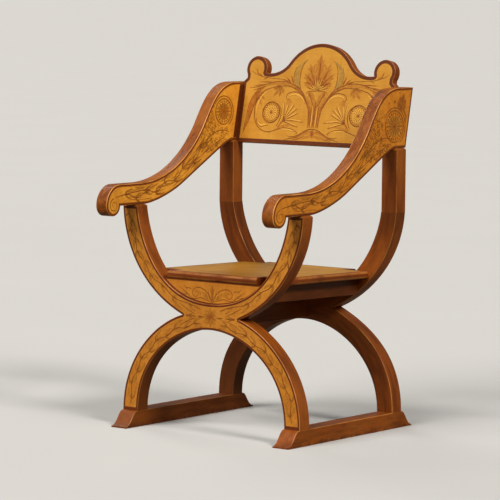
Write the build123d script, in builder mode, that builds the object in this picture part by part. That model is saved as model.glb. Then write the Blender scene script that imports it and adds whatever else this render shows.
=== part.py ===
"""A rigid armchair of the Savonarola, or curule, form.

Two frames, front and rear, each made of an upturned bow over an arched bow, stand on two
front-to-back runners. A board seat lies between them, S-curved arms lie on their horns and
posts, and a shaped back panel leans between the arms.

Millimetres. +Z is up, the chair faces -Y, and +X is on the right of someone who looks at
its front. The origin is on the floor, under the middle of the chair's bounding box.
"""

import os
from math import cos, radians, sin, sqrt, tan

from build123d import *

os.makedirs("parts", exist_ok=True)

SIDES = {"left": -1, "right": 1}

# ---------------------------------------------------------------- driving dimensions
FRONT_Y = -200.0            # front face of the front frame
FRAME_SPACING = 426.0       # front face of one frame to front face of the other
LIMB_DEPTH = 44.0           # thickness of a frame, front to back
LIMB_WIDTH = 50.0           # width of a limb across its curve
FOOT_WIDTH = 52.0           # its width where it stands on a runner
FOOT_HALF_SPAN = 302.0      # outer half width over the feet
HORN_HALF_SPAN = 306.0      # outer half width over the horns
CROSSING_Z = {"front": 321.0, "rear": 319.0}    # joint between the two bows of a frame
CROWN_Z = {"front": 355.5, "rear": 351.0}       # lowest point inside the upturned bow
ARCH_Z = {"front": 286.5, "rear": 281.0}        # highest point under the arched bow
CROSSING_HALF = 96.5        # half length of that joint, up to the notch
HORN_TOP_Z = 610.0          # underside of the arm at the front
SPLICE_Z = 594.0            # where a rear horn ends and its straight post begins
POST_TOP_Z = 770.0          # underside of the arm at the rear
HORN_CHAMFER = 5.0
ARRIS = 2.0                 # rounding of the frames' long edges

# How each bow bends. Arched: x and z of the underside's pulls, z of the back's pull above the
# foot, then its pull by the crossing. Upturned: x and z of the inside's pulls, the back's
# pull by the crossing, then z of its pull below the horn.
LOWER_BENDS = {
    "front": ((106, 206), 208, (172, 300)),
    "rear": ((115, 188), 190, (212, 266)),
}
UPPER_BENDS = {
    "front": ((230, 598), (280, 397), 555),
    "rear": ((181, 538), (210, 368), 476),
}

RUNNER_HEIGHT = 44.0
RUNNER_WIDTH = 52.0
RUNNER_REACH = 50.0         # how far a runner stands out past the frames at each end
SHOULDER_START = 4.0        # where each end starts to curve down from the runner's top
TOE_HEIGHT = 4.0

ARM_WIDTH = 38.0
ARM_HALF_GAP = 261.5        # middle of the chair to an arm's inner face
ARM_REACH = 122.4           # tip of the scroll, in front of the front frame
ARM_REAR_LENGTH = 477.0     # rear end of the arm's foot, behind the front frame's face
REST_Z = 668.0              # top of the arm where the hand lies
ARM_REAR_TOP_Z = 934.0
SCROLL_RADIUS = 29.0
SCROLL_Z = 612.0            # middle of the scroll
ARM_RISE = 28.4             # degrees of the arm's straight underside
ARM_ARRIS = 2.5

PANEL_THICK = 23.0
PANEL_LEAN = 11.2           # degrees back from upright
PANEL_FOOT_Y = 245.0        # front of the back panel, level with the tops of the posts
PANEL_DROP = 4.5            # how far it reaches down between the posts
SHOULDER = 169.0            # straight side of the panel, along its slope
NECK_X = 250.5              # where the panel narrows under each ear
NECK_RISE = 10.0
EAR_X, EAR_UP, EAR_RADIUS = 219.8, 206.4, 36.0
CREST_UP = 282.5            # top of the hump, along the slope
CREST_RADIUS = 130.0
CREST_SWEEP = 54.5          # degrees of the hump's arc each side of its top
CUSP_X = 185.5              # notch between the cove and each ear

SEAT_TOP_Z = 438.0          # top of the seat at the front frame's face
SEAT_FALL = 1.2             # degrees down towards the back
SEAT_THICK = 21.0
SEAT_HALF_WIDTH = 215.0     # between the frames
SEAT_NOSE_HALF = 152.0      # between the front horns
SEAT_TONGUE_HALF = 146.0    # between the rear horns
SEAT_INSET = 3.0            # seat's front and rear edges behind the frames' faces
SEAT_ROUND = 9.0
RAIL_HEIGHT = 46.0
RAIL_THICK = 20.0
RAIL_OUTER = 180.0          # middle of the chair to a side rail's outer face
STRETCHER_FOOT = 288.0      # underside of the bar between the two crossings
STRETCHER_WIDTH = 22.0
STRETCHER_HEIGHT = 62.0
STRETCHER_TENON_Z = 306.0   # middle of its tenons
STRETCHER_TENON = (12.0, 12.0, 18.0)    # at each end: across, length, height
LUNETTE_THICK = 16.0
LUNETTE_RECESS = 8.0        # a lunette's face behind its frame's outer face

VENEER = 1.0
FRAME_BORDER = 6.5          # plain walnut left round each veneer
FOOT_BAND = 9.0             # plain walnut above each front foot
ARM_BORDER = 5.0
PANEL_BORDER = 8.0
SEAT_BORDER = 12.0
LUNETTE_BORDER = 3.0

DOWEL = 5.0                 # radii of the dowels
THIN_DOWEL = 4.0
DOWEL_LENGTH = 50.0
THIN_DOWEL_LENGTH = 32.0
FOOT_TENON = (30.0, 20.0, 40.0)

# ---------------------------------------------------------------- derived places
REAR_Y = FRONT_Y + FRAME_SPACING
FRAME_Y = {"front": FRONT_Y, "rear": REAR_Y}
BETWEEN_FRAMES = (FRONT_Y + LIMB_DEPTH, REAR_Y)
BETWEEN_LENGTH = BETWEEN_FRAMES[1] - BETWEEN_FRAMES[0]
BETWEEN_MIDDLE = sum(BETWEEN_FRAMES) / 2
STRETCHER_CORE = (
    STRETCHER_TENON[0], BETWEEN_LENGTH + 2 * STRETCHER_TENON[1], STRETCHER_TENON[2]
)
FOOT_INNER = FOOT_HALF_SPAN - FOOT_WIDTH
HORN_INNER = HORN_HALF_SPAN - LIMB_WIDTH
LEG_X = FOOT_HALF_SPAN - FOOT_WIDTH / 2
HORN_X = HORN_HALF_SPAN - LIMB_WIDTH / 2
ARM_X = ARM_HALF_GAP + ARM_WIDTH / 2
RAIL_X = RAIL_OUTER - RAIL_THICK / 2
SEAT_SLOPE = tan(radians(SEAT_FALL))
SEAT_DROP = SEAT_THICK / cos(radians(SEAT_FALL))

SEAT_PLANE = Plane(
    origin=(0, FRONT_Y, SEAT_TOP_Z),
    x_dir=(1, 0, 0),
    z_dir=(0, sin(radians(SEAT_FALL)), cos(radians(SEAT_FALL))),
)
PANEL_PLANE = Plane(
    origin=(0, PANEL_FOOT_Y, POST_TOP_Z),
    x_dir=(1, 0, 0),
    z_dir=(0, -cos(radians(PANEL_LEAN)), sin(radians(PANEL_LEAN))),
)


def frame_middle(name):
    """Middle of a frame's thickness, along Y."""
    return FRAME_Y[name] + LIMB_DEPTH / 2


def front_plane(y):
    """Upright plane at depth y, looking at its front: local x is X and local y is Z."""
    return Plane.XZ.offset(-y)


def arm_plane(x):
    """Upright plane at x: local x is the depth behind the front frame, local y is Z."""
    return Plane(origin=(x, FRONT_Y, 0), x_dir=(0, 1, 0), z_dir=(1, 0, 0))


def seat_top(y):
    """Height of the seat's upper face at depth y."""
    return SEAT_TOP_Z - SEAT_SLOPE * (y - FRONT_Y)


def seat_under(y):
    """Height of the seat's underside at depth y."""
    return seat_top(y) - SEAT_DROP


def save(piece, label):
    """Name a finished piece and write it to the parts folder."""
    piece.part.label = label
    export_step(piece.part, f"parts/{label}.step")


def long_edges(edges, least=100):
    """The edges that are long enough to be an outline's, not an end's."""
    return edges.filter_by(lambda edge: edge.length > least)


# ---------------------------------------------------------------- places of the joinery
FOOT_SPOTS = [
    (sign * LEG_X, frame_middle(name), RUNNER_HEIGHT) for name in FRAME_Y for sign in SIDES.values()
]
CROSSING_SPOTS = [
    (x, frame_middle(name), CROSSING_Z[name]) for name in FRAME_Y for x in (-50, 0, 50)
]
SPLICE_SPOTS = [(sign * HORN_X, frame_middle("rear"), SPLICE_Z) for sign in SIDES.values()]
ARM_SPOTS = [
    (sign * ARM_X, frame_middle(name) + step, joint_z)
    for name, joint_z in (("front", HORN_TOP_Z), ("rear", POST_TOP_Z))
    for sign in SIDES.values()
    for step in (-10, 10)
]
RAIL_SPOTS = [
    (sign * RAIL_X, y, seat_under(y) - RAIL_HEIGHT / 4)
    for sign in SIDES.values()
    for y in BETWEEN_FRAMES
]
SEAT_SPOTS = [
    (sign * RAIL_X, y, seat_under(y)) for sign in SIDES.values() for y in (-100, 35, 170)
]
PANEL_SPOTS = [
    tuple(PANEL_PLANE.from_local_coords((sign * ARM_HALF_GAP, up, -PANEL_THICK / 2)))
    for sign in SIDES.values()
    for up in (35, 85, 135)
]


def upright(spots):
    """Vertical places, each with its middle at a joint."""
    return Locations(*[Location(spot) for spot in spots])


def fore_and_aft(spots):
    """Places that lie along Y."""
    return Locations(*[Location(spot, (90, 0, 0)) for spot in spots])


def crosswise(spots):
    """Places that lie along X."""
    return Locations(*[Location(spot, (0, 90, 0)) for spot in spots])


# ---------------------------------------------------------------- outlines
def upper_inner_edge(name):
    """Inside of the upturned bow, from the middle of the crossing up to a horn."""
    crown = CROWN_Z[name]
    pull_x, pull_z = UPPER_BENDS[name][0]
    return Bezier((0, crown), (pull_x, crown), (HORN_INNER, pull_z), (HORN_INNER, HORN_TOP_Z))


def upper_bow_face(name, horn_top):
    """The upturned bow: half of it, mirrored, then cut level at the horns."""
    crossing = CROSSING_Z[name]
    by_crossing, below_horn = UPPER_BENDS[name][1:]
    with BuildSketch(mode=Mode.PRIVATE) as sketch:
        with BuildLine():
            inner = upper_inner_edge(name)
            outer = Bezier(
                (CROSSING_HALF, crossing),
                by_crossing,
                (HORN_HALF_SPAN, below_horn),
                (HORN_HALF_SPAN, HORN_TOP_Z),
            )
            Line(inner @ 1, outer @ 1)
            Polyline(inner @ 0, (0, crossing), outer @ 0)
        make_face()
        mirror(about=Plane.YZ)
        if horn_top < HORN_TOP_Z:
            Rectangle(
                2 * HORN_HALF_SPAN, horn_top, align=(Align.CENTER, Align.MIN), mode=Mode.INTERSECT
            )
    return sketch.sketch


def lower_bow_face(name):
    """The arched bow: half of it, mirrored. The rear one is deeper and squarer than the front."""
    arch = ARCH_Z[name]
    inner_bend, above_foot, by_crossing = LOWER_BENDS[name]
    with BuildSketch(mode=Mode.PRIVATE) as sketch:
        with BuildLine():
            inner = Bezier(
                (FOOT_INNER, RUNNER_HEIGHT),
                (FOOT_INNER, inner_bend[1]),
                (inner_bend[0], arch),
                (0, arch),
            )
            outer = Bezier(
                (FOOT_HALF_SPAN, RUNNER_HEIGHT),
                (FOOT_HALF_SPAN, above_foot),
                by_crossing,
                (CROSSING_HALF, CROSSING_Z[name]),
            )
            Line(inner @ 0, outer @ 0)
            Polyline(inner @ 1, (0, CROSSING_Z[name]), outer @ 1)
        make_face()
        mirror(about=Plane.YZ)
    return sketch.sketch


def inset(face, border, kind=Kind.ARC):
    """A face set in by a border, its parallel curves redrawn as splines."""
    with BuildSketch(mode=Mode.PRIVATE) as sketch:
        add(face)
        offset(amount=-border, kind=kind)
    edges = [
        Edge.make_spline([edge @ (step / 8) for step in range(9)], tangents=[edge % 0, edge % 1])
        if edge.geom_type == GeomType.OFFSET
        else edge
        for edge in sketch.sketch.face().outer_wire().order_edges()
    ]
    return Face(Wire.combine(edges, tol=0.001)[0])


def front_veneer_face():
    """Both front bows, set in from every edge, and cut short above the feet."""
    with BuildSketch(mode=Mode.PRIVATE) as bows:
        add(upper_bow_face("front", HORN_TOP_Z - HORN_CHAMFER))
        add(lower_bow_face("front"))
    with BuildSketch(mode=Mode.PRIVATE) as sketch:
        add(inset(bows.sketch, FRAME_BORDER))
        Rectangle(
            2 * HORN_HALF_SPAN,
            RUNNER_HEIGHT + FOOT_BAND,
            align=(Align.CENTER, Align.MIN),
            mode=Mode.SUBTRACT,
        )
    return sketch.sketch


def lunette_face(name, top_z):
    """The D-shaped space inside an upturned bow, up to a level line."""
    with BuildSketch(mode=Mode.PRIVATE) as sketch:
        with BuildLine():
            inner = upper_inner_edge(name)
            Polyline(inner @ 1, (0, HORN_TOP_Z), inner @ 0)
        make_face()
        mirror(about=Plane.YZ)
        Rectangle(
            2 * HORN_HALF_SPAN, top_z, align=(Align.CENTER, Align.MIN), mode=Mode.INTERSECT
        )
    return sketch.sketch


def runner_end(y, outward):
    """One end of a runner: a soft ogee that falls from its top to a low toe."""
    top = (y + outward * SHOULDER_START, RUNNER_HEIGHT)
    toe = (y + outward * RUNNER_REACH, TOE_HEIGHT)
    Bezier(top, (y + outward * 20, RUNNER_HEIGHT - 1), (y + outward * 26, TOE_HEIGHT + 4), toe)
    Line(toe, (toe[0], 0))
    return top, (toe[0], 0)


def arm_face():
    """Side view of an arm: local x is behind the front frame's face, local y is Z."""
    scroll_x = SCROLL_RADIUS - ARM_REACH
    scroll_end = scroll_x + sqrt(SCROLL_RADIUS**2 - (SCROLL_Z - HORN_TOP_Z) ** 2)
    brow = REST_Z - SCROLL_Z
    rear_top = ARM_REAR_LENGTH + tan(radians(PANEL_LEAN)) * (ARM_REAR_TOP_Z - POST_TOP_Z)
    with BuildSketch(mode=Mode.PRIVATE) as sketch:
        with BuildLine():
            Polyline((ARM_REAR_LENGTH, POST_TOP_Z), (rear_top, ARM_REAR_TOP_Z), (445, ARM_REAR_TOP_Z))
            Bezier((445, ARM_REAR_TOP_Z), (374, ARM_REAR_TOP_Z), (343, 890), (306, 831))
            Bezier((306, 831), (241.5, 728), (135, REST_Z), (20, REST_Z))
            Line((20, REST_Z), (brow - ARM_REACH, REST_Z))
            CenterArc((brow - ARM_REACH, SCROLL_Z), brow, 90, 90)
            ThreePointArc(
                (-ARM_REACH, SCROLL_Z), (scroll_x, SCROLL_Z - SCROLL_RADIUS), (scroll_end, HORN_TOP_Z)
            )
            Line((scroll_end, HORN_TOP_Z), (LIMB_DEPTH + 2, HORN_TOP_Z))
            Bezier((LIMB_DEPTH + 2, HORN_TOP_Z), (70, HORN_TOP_Z), (148, 627.6), (208, 660))
            shank = PolarLine((208, 660), 150, ARM_RISE)
            Bezier(shank @ 1, (380, 753), (412, POST_TOP_Z), (FRAME_SPACING, POST_TOP_Z))
            Line((FRAME_SPACING, POST_TOP_Z), (ARM_REAR_LENGTH, POST_TOP_Z))
        make_face()
    return sketch.sketch


def panel_face():
    """The back panel, flat: a hump between two ears, with local y up its slope."""
    crest_low = 90 - CREST_SWEEP
    with BuildSketch(mode=Mode.PRIVATE) as sketch:
        with BuildLine():
            neck_up = EAR_UP - sqrt(EAR_RADIUS**2 - (NECK_X - EAR_X) ** 2)
            cusp = (CUSP_X, EAR_UP - sqrt(EAR_RADIUS**2 - (CUSP_X - EAR_X) ** 2))
            Polyline(
                (0, CREST_UP),
                (0, -PANEL_DROP),
                (ARM_HALF_GAP, -PANEL_DROP),
                (ARM_HALF_GAP, SHOULDER),
                (NECK_X, SHOULDER + NECK_RISE),
                (NECK_X, neck_up),
            )
            ThreePointArc((NECK_X, neck_up), (EAR_X, EAR_UP + EAR_RADIUS), cusp)
            crest = CenterArc((0, CREST_UP - CREST_RADIUS), CREST_RADIUS, crest_low, CREST_SWEEP)
            TangentArc(crest @ 0, cusp, tangent=(crest % 0) * -1)
        make_face()
        mirror(about=Plane.YZ)
    return sketch.sketch


def seat_plan():
    """The seat from above: a nose between the front horns, the body, a tongue behind."""
    with BuildSketch(mode=Mode.PRIVATE) as sketch:
        with Locations((0, SEAT_INSET)):
            Rectangle(2 * SEAT_NOSE_HALF, LIMB_DEPTH, align=(Align.CENTER, Align.MIN))
        with Locations((0, LIMB_DEPTH)):
            Rectangle(
                2 * SEAT_HALF_WIDTH, BETWEEN_LENGTH, align=(Align.CENTER, Align.MIN)
            )
        with Locations((0, FRAME_SPACING + LIMB_DEPTH - SEAT_INSET)):
            Rectangle(2 * SEAT_TONGUE_HALF, LIMB_DEPTH, align=(Align.CENTER, Align.MAX))
    return sketch.sketch


def seat_strip(start_y, end_y, above, below):
    """Side view of something that follows the seat's slope between two depths."""
    with BuildSketch(mode=Mode.PRIVATE) as sketch:
        with BuildLine():
            Polyline(
                (start_y, seat_top(start_y) - below),
                (end_y, seat_top(end_y) - below),
                (end_y, seat_top(end_y) - above),
                (start_y, seat_top(start_y) - above),
                close=True,
            )
        make_face()
    return sketch.sketch


# ---------------------------------------------------------------- runners
for side, sign in SIDES.items():
    with BuildPart() as runner:
        with BuildSketch(Plane.YZ.offset(sign * LEG_X - RUNNER_WIDTH / 2)):
            with BuildLine():
                front_top, front_toe = runner_end(FRONT_Y, -1)
                rear_top, rear_toe = runner_end(REAR_Y + LIMB_DEPTH, 1)
                Line(front_top, rear_top)
                Line(front_toe, rear_toe)
            make_face()
        extrude(amount=RUNNER_WIDTH)
        fillet(runner.edges().filter_by(Axis.Y).group_by(Axis.Z)[-1], ARRIS)
        with upright(FOOT_SPOTS):
            Box(*FOOT_TENON, mode=Mode.SUBTRACT)
    save(runner, f"runner_{side}")

# ---------------------------------------------------------------- frames
for name, y in FRAME_Y.items():
    with BuildPart() as lower_bow:
        with BuildSketch(front_plane(y)):
            add(lower_bow_face(name))
        extrude(amount=-LIMB_DEPTH)
        fillet(long_edges(lower_bow.edges().filter_by(GeomType.LINE, reverse=True)), ARRIS)
        with upright(FOOT_SPOTS):
            Box(*FOOT_TENON, mode=Mode.SUBTRACT)
        with upright(CROSSING_SPOTS):
            Cylinder(DOWEL, DOWEL_LENGTH, mode=Mode.SUBTRACT)
        if name == "front":
            with BuildSketch(front_plane(y)):
                add(front_veneer_face())
            extrude(amount=-VENEER, mode=Mode.SUBTRACT)
        with Locations((0, BETWEEN_MIDDLE, STRETCHER_TENON_Z)):
            Box(*STRETCHER_CORE, mode=Mode.SUBTRACT)
    save(lower_bow, f"{name}_lower_bow")

    with BuildPart() as upper_bow:
        with BuildSketch(front_plane(y)):
            add(upper_bow_face(name, HORN_TOP_Z if name == "front" else SPLICE_Z))
        extrude(amount=-LIMB_DEPTH)
        if name == "front":
            chamfer(upper_bow.faces().group_by(Axis.Z)[-1].edges(), HORN_CHAMFER)
        fillet(long_edges(upper_bow.edges().filter_by(GeomType.LINE, reverse=True)), ARRIS)
        with upright(CROSSING_SPOTS + SPLICE_SPOTS + ARM_SPOTS):
            Cylinder(DOWEL, DOWEL_LENGTH, mode=Mode.SUBTRACT)
        with fore_and_aft(RAIL_SPOTS):
            Cylinder(THIN_DOWEL, THIN_DOWEL_LENGTH, mode=Mode.SUBTRACT)
        if name == "front":
            with BuildSketch(front_plane(y)):
                add(front_veneer_face())
            extrude(amount=-VENEER, mode=Mode.SUBTRACT)
    save(upper_bow, f"{name}_upper_bow")

for side, sign in SIDES.items():
    with BuildPart() as post:
        with Locations((sign * HORN_X, frame_middle("rear"), SPLICE_Z)):
            Box(
                LIMB_WIDTH,
                LIMB_DEPTH,
                POST_TOP_Z - SPLICE_Z,
                align=(Align.CENTER, Align.CENTER, Align.MIN),
            )
        chamfer(post.faces().sort_by(Axis.Z)[-1].edges(), HORN_CHAMFER)
        fillet(post.edges().filter_by(Axis.Z), ARRIS)
        with upright(SPLICE_SPOTS + ARM_SPOTS):
            Cylinder(DOWEL, DOWEL_LENGTH, mode=Mode.SUBTRACT)
    save(post, f"rear_post_{side}")

with BuildPart() as front_frame_veneer:
    with BuildSketch(front_plane(FRONT_Y)):
        add(front_veneer_face())
    extrude(amount=-VENEER)
save(front_frame_veneer, "front_frame_veneer")

# ---------------------------------------------------------------- bar between the crossings
with BuildPart() as cross_stretcher:
    with Locations((0, BETWEEN_MIDDLE, STRETCHER_FOOT + STRETCHER_HEIGHT / 2)):
        Box(STRETCHER_WIDTH, BETWEEN_LENGTH, STRETCHER_HEIGHT)
    fillet(cross_stretcher.edges().filter_by(Axis.Y), ARRIS)
    with Locations((0, BETWEEN_MIDDLE, STRETCHER_TENON_Z)):
        Box(*STRETCHER_CORE)
save(cross_stretcher, "cross_stretcher")

# ---------------------------------------------------------------- lunettes under the seat
lunette_back = FRONT_Y + LUNETTE_RECESS + LUNETTE_THICK
with BuildPart() as front_lunette:
    with BuildSketch(front_plane(FRONT_Y + LUNETTE_RECESS)):
        add(lunette_face("front", seat_under(lunette_back)))
    extrude(amount=-LUNETTE_THICK)
    with BuildSketch(front_plane(FRONT_Y + LUNETTE_RECESS)):
        add(inset(lunette_face("front", seat_under(lunette_back)), LUNETTE_BORDER))
    extrude(amount=-VENEER, mode=Mode.SUBTRACT)
save(front_lunette, "front_lunette")

with BuildPart() as front_lunette_veneer:
    with BuildSketch(front_plane(FRONT_Y + LUNETTE_RECESS)):
        add(inset(lunette_face("front", seat_under(lunette_back)), LUNETTE_BORDER))
    extrude(amount=-VENEER)
save(front_lunette_veneer, "front_lunette_veneer")

rear_lunette_back = REAR_Y + LIMB_DEPTH - LUNETTE_RECESS
with BuildPart() as rear_lunette:
    with BuildSketch(front_plane(rear_lunette_back)):
        add(lunette_face("rear", seat_under(rear_lunette_back)))
    extrude(amount=LUNETTE_THICK)
save(rear_lunette, "rear_lunette")

# ---------------------------------------------------------------- seat
with BuildPart() as seat_board:
    with BuildSketch(Plane.YZ):
        add(seat_strip(FRONT_Y, REAR_Y + LIMB_DEPTH, 0, SEAT_DROP))
    extrude(amount=SEAT_HALF_WIDTH, both=True)
    with BuildSketch(Plane(origin=(0, FRONT_Y, 0))):
        add(seat_plan())
    extrude(amount=SEAT_TOP_Z, mode=Mode.INTERSECT)
    across = seat_board.edges().filter_by(Axis.X).group_by(Axis.Y)
    along = seat_board.edges().group_by(Axis.X)
    fillet(across[0] + across[-1] + long_edges(along[0] + along[-1]), SEAT_ROUND)
    with BuildSketch(SEAT_PLANE):
        add(inset(seat_plan(), SEAT_BORDER, Kind.INTERSECTION))
    extrude(amount=-VENEER, mode=Mode.SUBTRACT)
    with upright(SEAT_SPOTS):
        Cylinder(THIN_DOWEL, THIN_DOWEL_LENGTH, mode=Mode.SUBTRACT)
save(seat_board, "seat_board")

with BuildPart() as seat_veneer:
    with BuildSketch(SEAT_PLANE):
        add(inset(seat_plan(), SEAT_BORDER, Kind.INTERSECTION))
    extrude(amount=-VENEER)
save(seat_veneer, "seat_veneer")

for side, sign in SIDES.items():
    with BuildPart() as seat_rail:
        with BuildSketch(Plane.YZ.offset(sign * RAIL_X - RAIL_THICK / 2)):
            add(seat_strip(*BETWEEN_FRAMES, SEAT_DROP, SEAT_DROP + RAIL_HEIGHT))
        extrude(amount=RAIL_THICK)
        fillet(long_edges(seat_rail.edges().group_by(Axis.Z)[1]), ARRIS)
        with fore_and_aft(RAIL_SPOTS):
            Cylinder(THIN_DOWEL, THIN_DOWEL_LENGTH, mode=Mode.SUBTRACT)
        with upright(SEAT_SPOTS):
            Cylinder(THIN_DOWEL, THIN_DOWEL_LENGTH, mode=Mode.SUBTRACT)
    save(seat_rail, f"seat_rail_{side}")

# ---------------------------------------------------------------- arms
for side, sign in SIDES.items():
    near_x = min(sign * ARM_HALF_GAP, sign * (ARM_HALF_GAP + ARM_WIDTH))
    far_x = near_x + ARM_WIDTH
    with BuildPart() as arm:
        with BuildSketch(arm_plane(near_x)):
            add(arm_face())
        extrude(amount=ARM_WIDTH)
        fillet(arm.edges().filter_by(Axis.X, reverse=True), ARM_ARRIS)
        for x, inward in ((near_x, 1), (far_x, -1)):
            with BuildSketch(arm_plane(x)):
                add(inset(arm_face(), ARM_BORDER, Kind.INTERSECTION))
            extrude(amount=inward * VENEER, mode=Mode.SUBTRACT)
        with upright(ARM_SPOTS):
            Cylinder(DOWEL, DOWEL_LENGTH, mode=Mode.SUBTRACT)
        with crosswise(PANEL_SPOTS):
            Cylinder(THIN_DOWEL, THIN_DOWEL_LENGTH, mode=Mode.SUBTRACT)
    save(arm, f"arm_{side}")

    for x, inward in ((near_x, 1), (far_x, -1)):
        face = "outer" if inward != sign else "inner"
        with BuildPart() as arm_veneer:
            with BuildSketch(arm_plane(x)):
                add(inset(arm_face(), ARM_BORDER, Kind.INTERSECTION))
            extrude(amount=inward * VENEER)
            with crosswise(PANEL_SPOTS):
                Cylinder(THIN_DOWEL, THIN_DOWEL_LENGTH, mode=Mode.SUBTRACT)
        save(arm_veneer, f"arm_{side}_{face}_veneer")

# ---------------------------------------------------------------- back
with BuildPart() as back_panel:
    with BuildSketch(PANEL_PLANE):
        add(panel_face())
    extrude(amount=-PANEL_THICK)
    fillet(back_panel.faces().sort_by(SortBy.AREA)[-2:].edges(), ARRIS)
    with upright([(sign * HORN_X, frame_middle("rear"), POST_TOP_Z) for sign in SIDES.values()]):
        Box(
            LIMB_WIDTH,
            LIMB_DEPTH,
            2 * PANEL_THICK,
            align=(Align.CENTER, Align.CENTER, Align.MAX),
            mode=Mode.SUBTRACT,
        )
    with BuildSketch(PANEL_PLANE):
        add(inset(panel_face(), PANEL_BORDER))
    extrude(amount=-VENEER, mode=Mode.SUBTRACT)
    with crosswise(PANEL_SPOTS):
        Cylinder(THIN_DOWEL, THIN_DOWEL_LENGTH, mode=Mode.SUBTRACT)
save(back_panel, "back_panel")

with BuildPart() as back_panel_veneer:
    with BuildSketch(PANEL_PLANE):
        add(inset(panel_face(), PANEL_BORDER))
    extrude(amount=-VENEER)
save(back_panel_veneer, "back_panel_veneer")

# ---------------------------------------------------------------- dowels and tenons
with BuildPart() as foot_tenons:
    with upright(FOOT_SPOTS):
        Box(*FOOT_TENON)
save(foot_tenons, "foot_tenons")

for label, spots in (
    ("crossing_dowels", CROSSING_SPOTS),
    ("splice_dowels", SPLICE_SPOTS),
    ("arm_dowels", ARM_SPOTS),
):
    with BuildPart() as dowels:
        with upright(spots):
            Cylinder(DOWEL, DOWEL_LENGTH)
    save(dowels, label)

for label, places in (
    ("seat_dowels", upright(SEAT_SPOTS)),
    ("rail_dowels", fore_and_aft(RAIL_SPOTS)),
    ("panel_dowels", crosswise(PANEL_SPOTS)),
):
    with BuildPart() as dowels:
        with places:
            Cylinder(THIN_DOWEL, THIN_DOWEL_LENGTH)
    save(dowels, label)
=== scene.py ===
"""A curule armchair of the Savonarola pattern: two crossed walnut frames on a pair of runners, with swept arms and a
shaped back, faced with golden satinwood that is drawn over in brown ink. The joiner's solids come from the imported
model. This script gives them their woods and polish, and lays the pen drawing on the veneer."""
import math
import random

import bmesh
import bpy
from mathutils import Matrix, Vector
from mathutils.bvhtree import BVHTree


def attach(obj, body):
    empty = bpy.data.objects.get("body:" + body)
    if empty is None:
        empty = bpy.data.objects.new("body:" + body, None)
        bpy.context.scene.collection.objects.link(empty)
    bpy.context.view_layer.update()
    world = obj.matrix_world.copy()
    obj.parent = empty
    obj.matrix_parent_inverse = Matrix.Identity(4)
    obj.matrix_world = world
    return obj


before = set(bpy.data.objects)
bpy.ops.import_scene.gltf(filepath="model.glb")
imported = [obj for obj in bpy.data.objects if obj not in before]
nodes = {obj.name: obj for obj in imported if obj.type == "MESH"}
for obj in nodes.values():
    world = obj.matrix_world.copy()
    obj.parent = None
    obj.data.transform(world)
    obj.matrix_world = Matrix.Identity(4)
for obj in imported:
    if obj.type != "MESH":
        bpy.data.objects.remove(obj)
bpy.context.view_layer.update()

bpy.ops.object.select_all(action="DESELECT")


# The studio: a pale seamless floor, one large soft light high in front of the chair, a weaker one on its right, a
# faint one behind it and a low glow all round. A long lens stands in front and to its right, just above its height.
camera_spot = (4.88314, -6.41202, 1.23218)
turn, tip, lean = math.radians(37.41), math.radians(5.27), math.radians(0.55)
sitting = bpy.data.objects.new("sitting_camera", bpy.data.cameras.new("sitting_camera"))
bpy.context.scene.collection.objects.link(sitting)
sitting.data.sensor_width = 36.0
sitting.data.lens = 213.65
sitting.data.clip_end = 200.0
behind = Vector((math.sin(turn) * math.cos(tip), -math.cos(turn) * math.cos(tip), math.sin(tip)))
level = (-behind).cross(Vector((0, 0, 1))).normalized()
upright = level.cross(-behind)
across = level * math.cos(lean) + upright * math.sin(lean)
upwards = upright * math.cos(lean) - level * math.sin(lean)
facing = Matrix((across, upwards, behind)).transposed().to_4x4()
sitting.matrix_world = Matrix.Translation(camera_spot) @ facing
bpy.context.scene.camera = sitting


def soft_sun(name, azimuth, elevation, strength, spread, colour):
    """A broad soft light from a compass bearing: 0 is in front of the chair and 90 on its right."""
    sun = bpy.data.objects.new(name, bpy.data.lights.new(name, "SUN"))
    bpy.context.scene.collection.objects.link(sun)
    sun.data.energy = strength
    sun.data.angle = math.radians(spread)
    sun.data.color = colour
    sun.rotation_euler = (math.radians(90 - elevation), 0, math.radians(azimuth))


soft_sun("front_light", -10, 41, 3.15, 32, (1.0, 0.955, 0.86))
soft_sun("right_light", 78, 38, 2.45, 16, (1.0, 0.95, 0.85))
soft_sun("back_light", 248, 30, 0.75, 24, (1.0, 0.965, 0.90))


def wire(tree, kind, feeds=None, **settings):
    """Adds one shader node to a tree: a feed that is a socket is linked, and any other is set on the node."""
    made = tree.nodes.new(kind)
    for name, value in settings.items():
        setattr(made, name, value)
    for socket, value in (feeds or {}).items():
        if isinstance(value, bpy.types.NodeSocket):
            tree.links.new(value, made.inputs[socket])
        else:
            made.inputs[socket].default_value = value
    return made


def tint(tree, share, first, second, rule="MIX"):
    """One colour over another."""
    feeds = {"Fac": share, "Color1": first, "Color2": second}
    return wire(tree, "ShaderNodeMixRGB", feeds, blend_type=rule).outputs["Color"]


def ramp(tree, value, low, high):
    """A soft step from 0 at low to 1 at high."""
    return wire(tree, "ShaderNodeMapRange", {0: value, 1: low, 2: high}, interpolation_type="SMOOTHSTEP").outputs[0]


def cloud_of(tree, vector, scale, detail=2.0, roughness=0.5):
    """The grey value of a noise."""
    feeds = {"Vector": vector, "Scale": scale, "Detail": detail, "Roughness": roughness}
    return wire(tree, "ShaderNodeTexNoise", feeds).outputs["Fac"]


def parts_of(tree, vector):
    """The X, Y and Z of a vector."""
    return wire(tree, "ShaderNodeSeparateXYZ", {0: vector}).outputs


def placed(tree):
    """Object coordinates, which are metres in the chair's own frame."""
    return wire(tree, "ShaderNodeTexCoord").outputs["Object"]


def lit_by(tree, bounce, seen):
    """One colour for the camera and another, darker, for the light that a surface throws back at the chair."""
    return tint(tree, wire(tree, "ShaderNodeLightPath").outputs["Is Camera Ray"], bounce, seen)


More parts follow.
